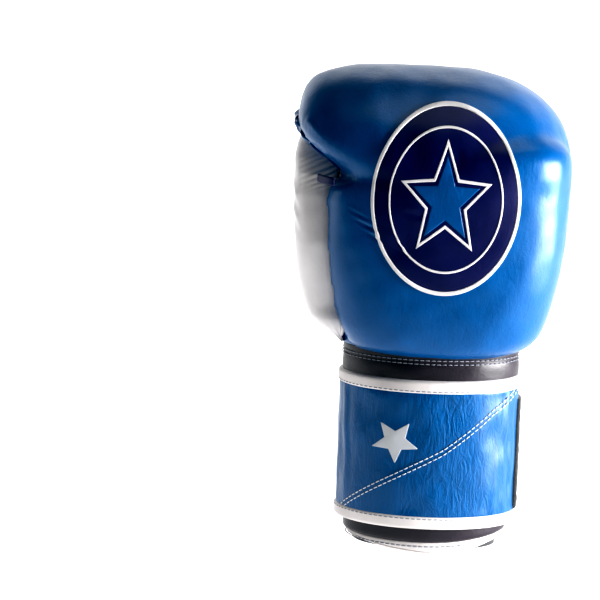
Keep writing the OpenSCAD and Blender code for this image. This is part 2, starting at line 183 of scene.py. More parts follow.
def cloth(name, colour, rough=0.85, thread=1500.0, depth=0.5, sheen=0.25):
    """Woven cloth: two crossed bands of thread with a soft sheen."""
    material, tree, shader, place, _ = start_material(
        name, colour, rough, 0.14, Sheen_Weight=sheen, Sheen_Roughness=0.5)
    total = None
    for axis in ("X", "Z", "Y"):
        band = node(tree, "ShaderNodeTexWave", Scale=thread / 6.28, Distortion=0.4, Detail=1.0)
        band.bands_direction = axis
        tree.links.new(place.outputs["Object"], band.inputs["Vector"])
        if total is None:
            total = band.outputs["Fac"]
            continue
        mix = node(tree, "ShaderNodeMath", operation="MULTIPLY")
        tree.links.new(total, mix.inputs[0])
        tree.links.new(band.outputs["Fac"], mix.inputs[1])
        total = mix.outputs[0]
    weave = add_bump(tree, total, 0.0002, depth)
    tree.links.new(weave.outputs["Normal"], shader.inputs["Normal"])
    return material


def fuzz(name, colour, scale=1400.0, depth=0.9):
    """Brushed loop or hook tape: a dense mat of tiny loops."""
    material, tree, shader, place, _ = start_material(
        name, colour, 0.95, 0.3, Sheen_Weight=0.35, Sheen_Roughness=0.4)
    mat = node(tree, "ShaderNodeTexVoronoi", Scale=scale)
    tangle = node(tree, "ShaderNodeTexNoise", Scale=700.0, Detail=4.0, Distortion=2.0)
    for texture in (mat, tangle):
        tree.links.new(place.outputs["Object"], texture.inputs["Vector"])
    b1 = add_bump(tree, tangle.outputs["Fac"], 0.0006, depth)
    b2 = add_bump(tree, mat.outputs["Distance"], 0.0004, depth, b1)
    tree.links.new(b2.outputs["Normal"], shader.inputs["Normal"])
    return material


def air_mesh(name, colour):
    """Knitted spacer mesh: rows of dark diamond holes between pale threads."""
    material, tree, shader, place, ramp = start_material(name, colour, 0.8, 0.05, Sheen_Weight=0.3)
    turn = node(tree, "ShaderNodeMapping")
    turn.inputs["Rotation"].default_value = (0, math.radians(45), 0)
    turn.inputs["Scale"].default_value = (430.0, 1.0, 430.0)
    tree.links.new(place.outputs["Object"], turn.inputs["Vector"])
    check = node(tree, "ShaderNodeTexVoronoi", Scale=1.0, Randomness=0.0)
    check.feature = "F1"
    tree.links.new(turn.outputs["Vector"], check.inputs["Vector"])
    hole = node(tree, "ShaderNodeMapRange", **{"From Min": 0.2, "From Max": 0.32})
    tree.links.new(check.outputs["Distance"], hole.inputs["Value"])
    mix = node(tree, "ShaderNodeMix", data_type="RGBA")
    mix.inputs["A"].default_value = (0.02, 0.02, 0.022, 1)
    tree.links.new(hole.outputs["Result"], mix.inputs["Factor"])
    tree.links.new(ramp.outputs["Color"], mix.inputs["B"])
    tree.links.new(mix.outputs["Result"], shader.inputs["Base Color"])
    bump = add_bump(tree, hole.outputs["Result"], 0.0005, 0.8)
    tree.links.new(bump.outputs["Normal"], shader.inputs["Normal"])
    return material


def thread_material(name, colour):
    """Twisted sewing thread."""
    material, tree, shader, place, _ = start_material(name, colour, 0.55, 0.08, Sheen_Weight=0.2)
    twist = node(tree, "ShaderNodeTexWave", Scale=900.0, Distortion=1.0)
    twist.bands_direction = "DIAGONAL"
    tree.links.new(place.outputs["Object"], twist.inputs["Vector"])
    bump = add_bump(tree, twist.outputs["Fac"], 0.00012, 0.6)
    tree.links.new(bump.outputs["Normal"], shader.inputs["Normal"])
    return material


# Each look is the record's slot and the material that shows on it
BLUE = ("blue_leather", leather("blue_leather", (0.0004, 0.085, 0.26), rough=0.42, crease=0.55, coat=0.7, spread=0.05,
                                tint=(0.1, 0.45, 1), crinkle=0.12))
BLUE_STRAP = ("blue_leather", leather("blue_strap_leather", (0.0004, 0.078, 0.23), rough=0.42, grain=1300.0,
                                      crease=0.9, coat=0.6, spread=0.05, tint=(0.1, 0.45, 1), crinkle=0.6))
NAVY = ("navy_leather", leather("navy_leather", (0.012, 0.012, 0.078), rough=0.4, grain=1500.0, crease=0.15, coat=0.15))
BLACK = ("black_leather", leather("black_leather", (0.024, 0.018, 0.026), rough=0.36, grain=1100.0, grain_depth=0.45,
                                  coat=0.2))
WHITE = ("white_leather", leather("white_leather", (0.78, 0.755, 0.76), grain=1100.0, grain_depth=0.18, spread=0.03))
BINDING = ("white_binding", leather("white_binding", (0.74, 0.70, 0.69), rough=0.42, grain=1500.0, coat=0.1,
                                    spread=0.06))
SILVER = ("white_leather", leather("silver_print", (0.55, 0.57, 0.60), rough=0.34, grain=1600.0, coat=0.1, spread=0.05))
LINING = ("lining", cloth("lining_cloth", (0.02, 0.02, 0.023)))
LOOP = ("loop_tape", fuzz("loop_tape", (0.010, 0.010, 0.012)))
HOOK = ("hook_tape", fuzz("hook_tape", (0.03, 0.03, 0.033), 900.0))
MESH = ("air_mesh", air_mesh("air_mesh", (0.55, 0.53, 0.55)))
THREAD = ("white_binding", thread_material("white_thread", (0.72, 0.72, 0.74)))
# painted shade: the binding stitches are white thread, and this grey stands in for the shade in the dents they sink
# into; the wrist band's stitches use the same grey
GREY_THREAD_PAINTED_SHADE = ("white_binding", thread_material("grey_thread_painted_shade", (0.24, 0.25, 0.30)))


# ---------------------------------------------------------------- mesh building
def make(name, points, faces, look, weld=True):
    """A mesh object from points in millimetres."""
    mesh = bpy.data.meshes.new(name)
    mesh.from_pydata((np.asarray(points, float).reshape(-1, 3) * MM).tolist(), [], faces)
    obj = bpy.data.objects.new(name, mesh)
    bpy.context.scene.collection.objects.link(obj)
    tidy(obj, weld)
    mesh.materials.append(look[1])
    return obj


def tidy(obj, weld=True):
    """Welds coincident points, drops flat faces, turns the faces outward and shades smooth."""
    bm = bmesh.new()
    bm.from_mesh(obj.data)
    if weld:
        bmesh.ops.remove_doubles(bm, verts=bm.verts, dist=2e-6)
        bmesh.ops.dissolve_degenerate(bm, edges=bm.edges, dist=1e-7)
    bmesh.ops.recalc_face_normals(bm, faces=bm.faces)
    bm.to_mesh(obj.data)
    bm.free()
    obj.data.polygons.foreach_set("use_smooth", [True] * len(obj.data.polygons))
    obj.data.update()


def grid_faces(rows, columns, offset=0, wrap=False):
    faces = []
    for i in range(rows - 1):
        for j in range(columns if wrap else columns - 1):
            k = (j + 1) % columns
            a = offset + i * columns
            faces.append((a + j, a + k, a + columns + k, a + columns + j))
    return faces


def spaced(n, length, edge):
    """Parameters from 0 to 1, packed close together within edge of each end."""
    near = np.array([0, 0.08, 0.25, 0.5, 0.8]) * min(edge, length * 0.3) / length
    inner = np.linspace(1.2 * edge / length, 1 - 1.2 * edge / length, n)
    return np.concatenate([near, inner, 1 - near[::-1]])


def normals_of(p):
    du, dv = np.gradient(p, axis=0), np.gradient(p, axis=1)
    n = np.cross(du, dv)
    return n / np.maximum(np.linalg.norm(n, axis=-1, keepdims=True), 1e-9)


def edge_distance(p):
    """How far each point of a grid lies from the grid's nearest border, along the surface."""
    steps = np.linalg.norm(np.diff(p, axis=0), axis=-1)
    run = np.concatenate([np.zeros((1, p.shape[1])), np.cumsum(steps, axis=0)])
    across = np.minimum(run, run[-1:] - run)
    steps = np.linalg.norm(np.diff(p, axis=1), axis=-1)
    run = np.concatenate([np.zeros((p.shape[0], 1)), np.cumsum(steps, axis=1)], axis=1)
    return across, np.minimum(run, run[:, -1:] - run)


def round_edge(d, width):
    return np.sqrt(np.clip(1 - (1 - np.clip(d / width, 0, 1)) ** 2, 0, 1))


def panel(name, surface, size, thick, look, edge=1.6, cells=(40, 24), relief=None, out=1.0):
    """A piece of leather or cloth on surface(u, v), with rounded edges and raised relief.

    size is its rough (u length, v length); out is 1 or -1 and picks the side that faces outward."""
    u = spaced(cells[0], size[0], edge)
    v = spaced(cells[1], size[1], edge)
    uu, vv = np.meshgrid(u, v, indexing="ij")
    base = surface(uu, vv)
    normal = normals_of(base) * out
    du, dv = edge_distance(base)
    height = thick * round_edge(du, edge) * round_edge(dv, edge)
    if relief is not None:
        height = height + relief(uu, vv, base) * smooth(0, 3 * edge, np.minimum(du, dv))
    top = base + normal * height[..., None]
    rows, columns = uu.shape
    points = np.concatenate([top.reshape(-1, 3), base.reshape(-1, 3)])
    faces = grid_faces(rows, columns) + grid_faces(rows, columns, rows * columns)
    return make(name, points, faces, look)


def tube(name, path, radius, look, sides=12):
    """A round cord sewn along path, with rounded ends."""
    path = np.asarray(path, float)
    n = len(path)
    ahead = np.gradient(path, axis=0)
    ahead /= np.linalg.norm(ahead, axis=1, keepdims=True)
    up = np.array([0.3, 0.2, 0.93])
    side = np.cross(ahead, up)
    side /= np.linalg.norm(side, axis=1, keepdims=True)
    up = np.cross(side, ahead)
    r = np.full(n, radius, float)
    r[0] = r[-1] = radius * 0.45
    angle = np.linspace(0, 2 * math.pi, sides, endpoint=False)
    ring = path[:, None] + r[:, None, None] * (
        side[:, None] * np.cos(angle)[None, :, None] + up[:, None] * np.sin(angle)[None, :, None])
    faces = grid_faces(n, sides, wrap=True)
    faces += [tuple(range(sides))[::-1], tuple((n - 1) * sides + j for j in range(sides))]
    return make(name, ring, faces, look)


def resample(path, pitch):
    path = np.asarray(path, float)
    run = np.concatenate([[0], np.cumsum(np.linalg.norm(np.diff(path, axis=0), axis=1))])
    count = max(2, int(run[-1] / pitch))
    at = np.linspace(pitch / 2, run[-1] - pitch / 2, count)
    here = np.stack([np.interp(at, run, path[:, i]) for i in range(3)], axis=1)
    back = np.stack([np.interp(at - 0.4, run, path[:, i]) for i in range(3)], axis=1)
    front = np.stack([np.interp(at + 0.4, run, path[:, i]) for i in range(3)], axis=1)
    ahead = front - back
    return here, ahead / np.maximum(np.linalg.norm(ahead, axis=1, keepdims=True), 1e-9)


STITCH_RINGS = [(-1.0, 0.35), (-0.82, 0.85), (-0.3, 1.0), (0.3, 1.0), (0.82, 0.85), (1.0, 0.35)]


def stitches(name, rows, look=THREAD, pitch=3.3, length=2.5, radius=0.36):
    """Rows of separate stitches; each row is a list of points on the leather's surface."""
    points, faces, sides = [], [], 6
    for row in rows:
        for place, ahead in zip(*resample(row, pitch)):
            side = np.cross(ahead, (0.21, 0.9, 0.38))
            side /= np.linalg.norm(side)
            up = np.cross(side, ahead)
            first = len(points)
            for along, wide in STITCH_RINGS:
                for j in range(sides):
                    a = 2 * math.pi * j / sides
                    points.append(place + ahead * along * length / 2
                                  + (side * math.cos(a) + up * math.sin(a)) * radius * wide)
            faces += grid_faces(len(STITCH_RINGS), sides, first, True)
            last = first + (len(STITCH_RINGS) - 1) * sides
            faces += [tuple(first + j for j in range(sides))[::-1], tuple(last + j for j in range(sides))]
    return make(name, points, faces, look, weld=False)


def applied(obj, name, look):
    """A new object that holds obj's mesh with its modifiers applied; obj is removed."""
    shape = obj.evaluated_get(bpy.context.evaluated_depsgraph_get())
    mesh = bpy.data.meshes.new_from_object(shape)
    bpy.data.objects.remove(obj)
    out = bpy.data.objects.new(name, mesh)
    bpy.context.scene.collection.objects.link(out)
    mesh.materials.clear()
    mesh.materials.append(look[1])
    mesh.polygons.foreach_set("use_smooth", [True] * len(mesh.polygons))
    return out


def coordinates(obj):
    co = np.empty(len(obj.data.vertices) * 3)
    obj.data.vertices.foreach_get("co", co)
    return co.reshape(-1, 3) / MM


def set_coordinates(obj, points):
    obj.data.vertices.foreach_set("co", (points * MM).ravel())
    obj.data.update()


def vertex_normals(obj):
    n = np.empty(len(obj.data.vertices) * 3)
    obj.data.vertices.foreach_get("normal", n)
    return n.reshape(-1, 3)


def inflate(obj, pinned, pressure, most, stiffness=18.0, frames=16):
    """Blows obj up as cloth, with some points held, and caps how far any point moves."""
    before = coordinates(obj)
    group = obj.vertex_groups.new(name="held")
    for index, weight in enumerate(pinned):
        if weight > 0:
            group.add([index], float(weight), "REPLACE")
    modifier = obj.modifiers.new("swell", "CLOTH")
    settings = modifier.settings
    settings.vertex_group_mass = "held"
    settings.quality = 6
    settings.tension_stiffness = stiffness
    settings.compression_stiffness = stiffness
    settings.bending_stiffness = 0.6
    settings.use_pressure = True
    settings.uniform_pressure_force = pressure
    settings.effector_weights.gravity = 0
    modifier.point_cache.frame_start = 1
    modifier.point_cache.frame_end = frames
    scene = bpy.context.scene
    for f in range(1, frames + 1):
        scene.frame_set(f)
    shape = obj.evaluated_get(bpy.context.evaluated_depsgraph_get())
    co = np.empty(len(shape.data.vertices) * 3)
    shape.data.vertices.foreach_get("co", co)
    after = co.reshape(-1, 3) / MM
    obj.modifiers.remove(modifier)
    scene.frame_set(1)
    move = after - before
    far = np.linalg.norm(move, axis=1, keepdims=True)
    set_coordinates(obj, before + move * np.minimum(1, most / np.maximum(far, 1e-9)))


# ---------------------------------------------------------------- the glove's surfaces
def roll_s(t):
    t = np.clip(t, -0.99999, 0.99999)
    blunt = (1 - np.abs(t) ** 7) ** (1 / 7)
    domed = (1 - np.abs(t) ** 2.4) ** (1 / 2.4)
    return np.where(t < 0, blunt, domed)


def roll_left_x(y, z):
    """Where the roll ends on the thumb side: it slants back toward the palm and above the thumb's tip."""
    slant = 1.2 * np.maximum(0, y - 14)
    notch = table(z, [(208, 52), (212, 47), (217, 39.5), (223, 31), (231.5, 19.5), (237, 12), (243, 5.5), (249, 1),
                      (255, 0)])
    return -84.5 + slant + notch * smooth(30, -10, y)


def roll_point(t, a, d=0.0):
    s = roll_s(t)
    y = ROLL_AT[0] + np.maximum(0, -t - 0.3) * 17 + (ROLL_R[0] - d) * s * np.cos(a)
    z = ROLL_AT[1] + (ROLL_R[1] - d) * s * np.sin(a)
    left = roll_left_x(y, z) + d
    x = np.where(t < 0, -ROLL_SHIFT - t * (left + ROLL_SHIFT), (ROLL_HALF - d) * t - ROLL_SHIFT)
    return np.stack([x + 0 * a, y, z], axis=-1)


BACK_LEFT = [(118, 50), (127, 53), (136, 58), (152, 61.5), (170, 65), (188, 67.7), (205, 68), (213, 67.5), (218, 65),
             (221, 59), (225, 50), (238, 33), (250, 15)]
BACK_RIGHT = [(118, 53), (122, 58.5), (127, 62.5), (136, 66.4), (147, 69.5), (160, 72.5), (175, 75.2), (195, 77),
              (226, 78.3), (238, 77.5), (250, 73)]
BACK_Y = [(118, -44), (125, -47), (138, -50), (166, -52), (228, -52), (238, -50.5), (250, -45)]
PALM_CX = [(106, 0), (122, 2), (148, 11), (184, 15)]
PALM_HX = [(106, 51), (122, 53), (148, 58), (184, 61)]
PALM_HY = [(106, 39), (122, 41), (184, 41)]


def palm_y(x, z):
    far = np.minimum(0.98, np.abs((x - table(z, PALM_CX)) / table(z, PALM_HX)))
    return table(z, PALM_HY) * (1 - far ** 2.6) ** (1 / 2.6)


def cuff_point(a, o, z):
    a = np.radians(a)
    return np.stack([(WRIST[0] + o) * np.cos(a), (WRIST[1] + o) * np.sin(a), z + 0 * a], axis=-1)


def thumb_point(k, a, d=0.0):
    """The thumb's pad leans out and toward the palm as it rises; k is 0 at its base and 1 at its tip."""
    cx = table(k, [(0, -52), (0.04, -54), (0.11, -56), (0.17, -58), (0.33, -58), (0.61, -58.5), (0.8, -60.5),
                   (0.92, -64), (1, -67)])
    cy = table(k, [(0, -16), (0.06, -10), (0.17, -0.5), (0.33, 3.7), (0.61, 9), (0.8, 10), (0.92, 13), (1, 17)])
    wide = table(k, [(0, 0.06), (0.04, 0.16), (0.065, 0.36), (0.11, 0.52), (0.17, 0.6), (0.33, 0.8), (0.47, 0.93),
                     (0.61, 0.99), (0.7, 0.97), (0.8, 0.88), (0.87, 0.74), (0.92, 0.58), (0.96, 0.42), (0.985, 0.28),
                     (1, 0.1)])
    deep = table(k, [(0, 0.08), (0.04, 0.18), (0.065, 0.46), (0.11, 0.7), (0.17, 0.8), (0.33, 0.95), (0.52, 1),
                     (0.8, 1), (0.87, 0.98), (0.92, 0.92), (0.96, 0.8), (0.985, 0.6), (1, 0.25)])
    u = (THUMB_A * wide + d) * np.cos(a)
    v = (THUMB_B * deep + d) * np.sin(a)
    return np.stack([cx + u * math.cos(THUMB_TURN) - v * math.sin(THUMB_TURN),
                     cy + u * math.sin(THUMB_TURN) + v * math.cos(THUMB_TURN),
                     THUMB_Z + THUMB_H * k + 0 * a], axis=-1)


def lofted(name, rings, look=BLUE):
    """A closed mesh through a stack of rings, capped at both ends."""
    rings = np.asarray(rings)
    n, c = rings.shape[:2]
    faces = grid_faces(n, c, wrap=True)
    faces += [tuple(range(c))[::-1], tuple((n - 1) * c + j for j in range(c))]
    return make(name, rings, faces, look)


def ridge(points, path, height, width, fade=0.25):
    """Raised (or, with a negative height, sunken) line along path, tapering at its ends."""
    path = np.asarray(path, float)
    best = np.full(len(points), 1e9)
    along = np.zeros(len(points))
    seg = np.linalg.norm(np.diff(path, axis=0), axis=1)
    run = np.concatenate([[0], np.cumsum(seg)])
    for i in range(len(path) - 1):
        d = path[i + 1] - path[i]
        t = np.clip((points - path[i]) @ d / (d @ d), 0, 1)
        far = np.linalg.norm(points - (path[i] + t[:, None] * d), axis=1)
        near = far < best
        best[near] = far[near]
        along[near] = ((run[i] + t * seg[i]) / run[-1])[near]
    ends = smooth(0, fade, along) * smooth(0, fade, 1 - along)
    return height * ends * np.exp(-((best / width) ** 2))


def remeshed(parts, cut, voxel, name):
    """The union of closed parts, less the cut, as one even mesh."""
    bm = bmesh.new()
    for part in parts:
        bm.from_mesh(part.data)
        bpy.data.objects.remove(part)
    mesh = bpy.data.meshes.new(name)
    bm.to_mesh(mesh)
    bm.free()
    obj = bpy.data.objects.new(name, mesh)
    bpy.context.scene.collection.objects.link(obj)
    first = obj.modifiers.new("join", "REMESH")
    first.mode, first.voxel_size = "VOXEL", voxel * MM
    knife = obj.modifiers.new("cut", "BOOLEAN")
    knife.operation, knife.object, knife.solver = "DIFFERENCE", cut, "EXACT"
    second = obj.modifiers.new("even", "REMESH")
    second.mode, second.voxel_size = "VOXEL", voxel * MM
    soft = obj.modifiers.new("soften", "SMOOTH")
    soft.factor, soft.iterations = 0.5, 6
    out = applied(obj, name, BLUE)
    bpy.data.objects.remove(cut)
    return out


def mitt():
    """The blue shell: finger roll, back of the hand and little-finger side in one piece."""
    a = np.linspace(0, 2 * math.pi, 72, endpoint=False)
    rings = []
    left, right = -np.sin(np.linspace(1.5, 0.1, 22)) ** 0.4, np.sin(np.linspace(0.1, 1.5, 16))
    for t in np.concatenate([[-0.9999], left, [0], right]):
        rings.append(roll_point(np.full_like(a, t), a))
    roll = lofted("roll", rings)
    rings = []
    for z in [118.5, 120, 123, 128, 135, 145, 158, 170, 183, 196, 208, 214, 219, 223, 228, 234, 240, 245, 250]:
        inset = table(z, [(118.5, 6.5), (120, 3.4), (123, 1), (128, 0), (240, 0), (246, 3), (250, 9)])
        left, right = table(z, BACK_LEFT) - inset, table(z, BACK_RIGHT) - inset
        back, front = table(z, BACK_Y) + inset, 37.0
        x = (right - left) / 2 + (right + left) / 2 * signed_power(np.cos(a), 0.72)
        y = (front + back) / 2 + (front - back) / 2 * signed_power(np.sin(a), 0.72)
        y = np.minimum(y, palm_y(x, z) - lerp(2.5, 10, smooth(2, -10, x - table(z, SIDE_EDGE))))
        bottom = 3.0 * ((x - 4) / 60) ** 2 * smooth(150, 120, z)
        rings.append(np.stack([x, y, z + bottom], axis=1))
    hand = lofted("hand", rings)
    k = np.linspace(0, 1.0, 30)
    recess = lofted("recess", [thumb_point(np.full_like(a, j), a, 0.8) for j in k])
    return remeshed([roll, hand], recess, 2.3, "mitt_shell")


def open_bottom(obj):
    """Cuts away the floor of the shell, where the wrist goes in."""
    bm = bmesh.new()
    bm.from_mesh(obj.data)
    inside = [f for f in bm.faces if is_floor(f.calc_center_median() / MM)]
    bmesh.ops.delete(bm, geom=inside, context="FACES")
    bm.to_mesh(obj.data)
    bm.free()


def is_floor(c):
    o = (c[0] / (WRIST[0] + 5)) ** 2 + (c[1] / (WRIST[1] + 5)) ** 2
    return c[2] < 128 and o < 1


def wrinkle_mitt(obj):
    """Soft dents all over, the fold at the roll's lower left corner and the creases that fan from it."""
    points, normal = coordinates(obj), vertex_normals(obj)
    move = 0.5 * wave(points, 46, 3) + 0.2 * wave(points, 17, 4)
    crest = [(-81, -22, 257), (-75, -32, 251), (-68, -42, 244.5), (-60, -48, 236), (-53, -51, 229), (-48, -53, 222)]
    move += ridge(points, crest, 1.7, 2.6, 0.1) + ridge(points, crest[:4], 0.9, 1.1, 0.2)
    fold = [(-60, -42, 223), (-54, -48, 220.5), (-48, -52, 216.5), (-42, -53, 213.5), (-36, -53, 213)]
    move += ridge(points, fold, -5.0, 2.2, 0.16)
    move += ridge(points, np.add(fold, (-1.5, 0, -4.0)), 1.6, 1.9, 0.2)
    for i in range(9):
        line = [(-58 + 1.2 * i, -42, 215 - 2.2 * i), (-46 + 2.2 * i, -51, 209.5 - 2.8 * i),
                (-28 + 3.0 * i, -53, 202.5 - 3.6 * i)]
        move += ridge(points, line, (-1.3, 1.1)[i % 2] * (1 - 0.07 * i), 1.4, 0.35)
    for i in range(4):
        line = [(-40 + 2 * i, -52, 213.5 - 1.6 * i), (-26, -53, 211.5 - 2.2 * i), (-8 + 4 * i, -53, 211 - 4.4 * i)]
        move += ridge(points, line, (-0.8, 0.6)[i % 2], 1.3, 0.4)
    for i in range(6):
        line = [(-79 + 4.5 * i, -16 - 5 * i, 244 - 4.2 * i), (-72 + 4.5 * i, -28 - 4 * i, 245 - 4.6 * i)]
        move += ridge(points, line, (0.7, -0.9)[i % 2], 1.2, 0.35)
    set_coordinates(obj, points + normal * move[:, None])


def refined(obj):
    """Finer faces at the roll's lower left corner, where the small creases are."""
    bm = bmesh.new()
    bm.from_mesh(obj.data)
    edges = [e for e in bm.edges if all(v.co.x < -0.015 and v.co.y < 0.0 and 0.168 < v.co.z < 0.268 for v in e.verts)]
    bmesh.ops.subdivide_edges(bm, edges=edges, cuts=2, use_grid_fill=True, smooth=1.0)
    bm.to_mesh(obj.data)
    bm.free()


def tree_of(obj):
    return BVHTree.FromPolygons([v.co.copy() for v in obj.data.vertices],
                                [tuple(p.vertices) for p in obj.data.polygons])


def on_surface(tree, places, direction):
    """Points and normals where rays from places, in millimetres, along direction meet the surface."""
    places = np.asarray(places, float)
    hits, normals = np.empty_like(places), np.empty_like(places)
    ray = Vector(direction)
    for i, p in enumerate(places.reshape(-1, 3)):
        hit, normal, _, _ = tree.ray_cast(Vector(p * MM), ray)
        if hit is None:
            hit, normal, _, _ = tree.find_nearest(Vector(p * MM))
        hits.reshape(-1, 3)[i] = np.array(hit) / MM
        normals.reshape(-1, 3)[i] = normal
    return hits, normals


def patch(name, tree, inner, outer, look, lift, thick, rings=10, n=96, at=None, size=None):
    """A flat piece between two outlines (functions of angle, in X and Z), laid on the back."""
    at, size = at or BADGE_AT, size or BADGE_R
    angle = np.linspace(0, 2 * math.pi, n, endpoint=False)
    k = np.concatenate([[0, 0.02, 0.06], np.linspace(0.12, 0.88, rings), [0.94, 0.98, 1]])
    solid = inner is None
    lo = np.full_like(angle, 0.001) if solid else inner(angle)
    hi = outer(angle)
    r = lo[None] + (hi - lo)[None] * k[:, None]
    x = at[0] + r * size[0] * np.sin(angle)
    z = at[1] + r * size[1] * np.cos(angle)
    start = np.stack([x, np.full_like(x, -200.0), z], axis=-1)
    hits, normals = on_surface(tree, start, (0, 1, 0))
    edge = np.minimum(1, (1 - k) / 0.06) if solid else np.minimum(1, np.minimum(k, 1 - k) / 0.12)
    height = lift + thick * np.sqrt(np.clip(1 - (1 - edge) ** 2, 0, 1))[:, None, None]
    top, base = hits + normals * height, hits - normals * 0.3
    count = len(k)
    faces = grid_faces(count, n, wrap=True) + grid_faces(count, n, count * n, True)
    for ring in ((count - 1) * n,) + (() if solid else (0,)):
        for j in range(n):
            m = (j + 1) % n
            faces.append((ring + j, ring + m, ring + m + count * n, ring + j + count * n))
    if solid:
        faces += [tuple(range(n)), tuple(count * n + j for j in range(n))]
    return make(name, np.concatenate([top.reshape(-1, 3), base.reshape(-1, 3)]), faces, look)


BADGE_AT = (5.0, 213.0)
BADGE_R = (43.0, 55.0)


def star(points, outer, inner, turn=0.0):
    def radius(angle):
        step = math.pi / points
        a = np.mod(angle - turn, 2 * step)
        a = np.minimum(a, 2 * step - a)
        # the straight edge between a tip and the notch beside it
        tip, notch = np.array([outer, 0.0]), inner * np.array([math.cos(step), math.sin(step)])
        edge = notch - tip
        return (tip[0] * edge[1] - tip[1] * edge[0]) / (np.cos(a) * edge[1] - np.sin(a) * edge[0])
    return radius


def constant(r):
    return lambda angle: np.full_like(angle, r)


# ---------------------------------------------------------------- pieces
def blended(obj):
    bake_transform(obj)
    return obj


def build_mitt():
    shell = mitt()
    seam = coordinates(shell)
    held = ((seam[:, 2] < 131) | (seam[:, 0] < -56)).astype(float)
    inflate(shell, held, 2.5, 2.5)
    refined(shell)
    wrinkle_mitt(shell)
    open_bottom(shell)
    skin = shell.modifiers.new("skin", "SOLIDIFY")
    skin.thickness, skin.offset = 1.6 * MM, -1
    shell = applied(shell, "mitt_shell", BLUE)
    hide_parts("back_leather", "knuckle_foam_outer", "knuckle_foam_inner", "side_leather",
                "side_foam", "finger_leather", "finger_foam_outer", "finger_foam_inner", "curl_foam",
                "finger_end_cap")
    tree = tree_of(shell)
    blended(shell)
    return tree


def build_badge(tree):
    badge = patch("badge", tree, None, constant(1.0), NAVY, 0.1, 0.9, rings=22, n=120)
    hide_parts("badge_lower", "badge_upper")
    pieces = [badge]
    for name, r0, r1 in (("badge_outline", 0.955, 1.0), ("badge_inner_line", 0.74, 0.765)):
        pieces.append(patch(name, tree, constant(r0), constant(r1), WHITE, 0.9, 0.35, 3, 120))
    pieces.append(patch("badge_star_outline", tree, star(5, 0.56, 0.25), star(5, 0.64, 0.29),
                        WHITE, 0.9, 0.3, 3, 200))
    pieces.append(patch("badge_star", tree, None, star(5, 0.47, 0.2), BLUE, 0.9, 0.35, 8, 200))
    for piece in pieces:
        blended(piece)


PLEATS = 15


def roll_profile(turn, start):
    """(t, s) on the rounded corner of the roll's thumb end; turn runs from 0, on its side, to 1, on its face."""
    angle = np.radians(np.linspace(30, 84, 200))
    t, s = -np.sin(angle) ** (2 / 7), np.cos(angle) ** (2 / 7)
    run = np.concatenate([[0], np.cumsum(np.hypot(np.diff(t) * 84, np.diff(s) * 64))])
    at = lerp(start, 1, turn) * run[-1]
    return np.interp(at, run, t), np.interp(at, run, s)


def gather_surface(u, v):
    """The gathered leather: u goes round the roll's end, v from its seam to the gap round the thumb's tip."""
    a = np.radians(lerp(-58.0, 196.0, u))
    back = smooth(40, 92, np.degrees(a))
    t, s = roll_profile(np.minimum(v / 0.45, 1), 0.88 * back)
    y = ROLL_AT[0] + np.maximum(0, -t - 0.3) * 17 + ROLL_R[0] * s * np.cos(a)
    z = ROLL_AT[1] + ROLL_R[1] * s * np.sin(a)
    inward = smooth(0.3, 1.0, v) * np.clip((v - 0.3) / 0.7, 0, 1)
    hole_y = 16 + 40 * np.cos(a)
    hole_z = 222 + 33 * np.sin(a)
    y, z = lerp(y, hole_y, inward), lerp(z, hole_z, inward)
    puff = 1.2 + 2.5 * np.sin(math.pi * np.clip((v - 0.25) / 0.75, 0, 1))
    x = -ROLL_SHIFT - t * (roll_left_x(y, z) + ROLL_SHIFT) - lerp(puff, lerp(-2.2, 0.8, smooth(0, 0.4, v)), back)
    strength = smooth(-12, 12, np.degrees(a)) * smooth(192, 168, np.degrees(a))
    bend = PLEATS * 0.5 * (a + 0.06 * np.sin(5 * a) + 0.12 * v * np.sin(2.3 * a))
    fold = np.abs(np.sin(bend)) ** 0.55
    depth = (0.4 + 5.0 * smooth(0.12, 0.95, v)) * strength * lerp(1, 0.2, smooth(115, 160, np.degrees(a)))
    fine = 0.35 * np.sin(41 * a + 2 * np.sin(7 * a)) * smooth(0.2, 0.5, v) * smooth(1.0, 0.7, v)
    return np.stack([x + depth * (0.8 - fold) + fine, y, z], axis=-1)


def build_gather():
    ruffle = panel("gathered_end", gather_surface, (300, 60), 1.5, BLUE, edge=1.0,
                   cells=(330, 40), out=-1)
    worn(ruffle, "fingers", "finger_gather")

    def inner(u, v):
        a = np.radians(lerp(-70.0, 215.0, u))
        grow = lerp(1.08, 0.5, v)
        y, z = 16 + 40 * grow * np.cos(a), 222 + 33 * grow * np.sin(a)
        return np.stack([roll_left_x(y, z) + 3 + 9 * v, y, z], axis=-1)

    lining = panel("gather_lining_cloth", inner, (200, 24), 0.7, LINING, edge=0.5, cells=(90, 12), out=-1)
    worn(lining, "fingers", "gather_lining")


THUMB_SEAM = (-6.0, 224.0)


